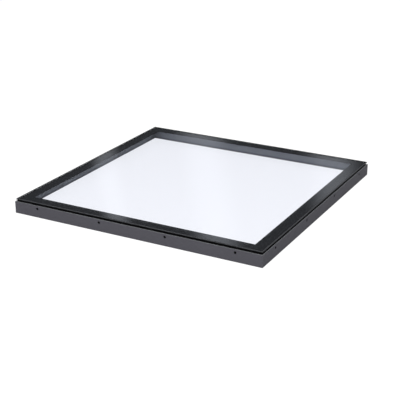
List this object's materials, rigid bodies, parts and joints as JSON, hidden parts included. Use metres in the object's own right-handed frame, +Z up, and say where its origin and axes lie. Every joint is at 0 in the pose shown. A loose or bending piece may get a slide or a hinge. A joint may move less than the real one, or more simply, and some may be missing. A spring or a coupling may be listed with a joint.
{
  "type": "flat roof skylight cover",
  "caption": "Flat fixed roof skylight cover: a clear glass pane with a black enamel border, bonded on a mitred grey skirt that drops over a roof kerb and is screwed through its sides.",
  "frame": {"origin": "middle of the skirt's bottom rim, on the surface that it stands on", "axes": "+Z up through the glass, +X along the front rail to the right, +Y from front to back"},
  "size_m": [1, 1, 0.0565],
  "materials": {
    "clear_glass": "clear toughened float glass with ground round edges",
    "black_enamel": "fired black enamel, seen through the glass",
    "grey_powder_coat": "dark grey fine powder coat on extruded aluminium",
    "mill_aluminium": "bare as extruded",
    "black_oxide_steel": "black oxide",
    "black_nylon": "moulded, matt",
    "black_silicone": "tooled and cured, satin",
    "foam_tape": "closed-cell foam, matt",
    "seal_rubber": "extruded rubber, matt"
  },
  "bodies": {
    "root": {"glass_pane": "clear_glass", "enamel_border": "black_enamel", "front_rail": "grey_powder_coat", "right_rail": "grey_powder_coat", "back_rail": "grey_powder_coat", "left_rail": "grey_powder_coat", "front_left_cleat": "mill_aluminium", "front_right_cleat": "mill_aluminium", "back_right_cleat": "mill_aluminium", "back_left_cleat": "mill_aluminium", "cleat_set_screws": "black_oxide_steel", "fixing_bushes": "black_nylon", "bond_seal": "black_silicone", "front_tape": "foam_tape", "right_tape": "foam_tape", "back_tape": "foam_tape", "left_tape": "foam_tape", "front_kerb_seal": "seal_rubber", "right_kerb_seal": "seal_rubber", "back_kerb_seal": "seal_rubber", "left_kerb_seal": "seal_rubber"}
  },
  "joints": []
}
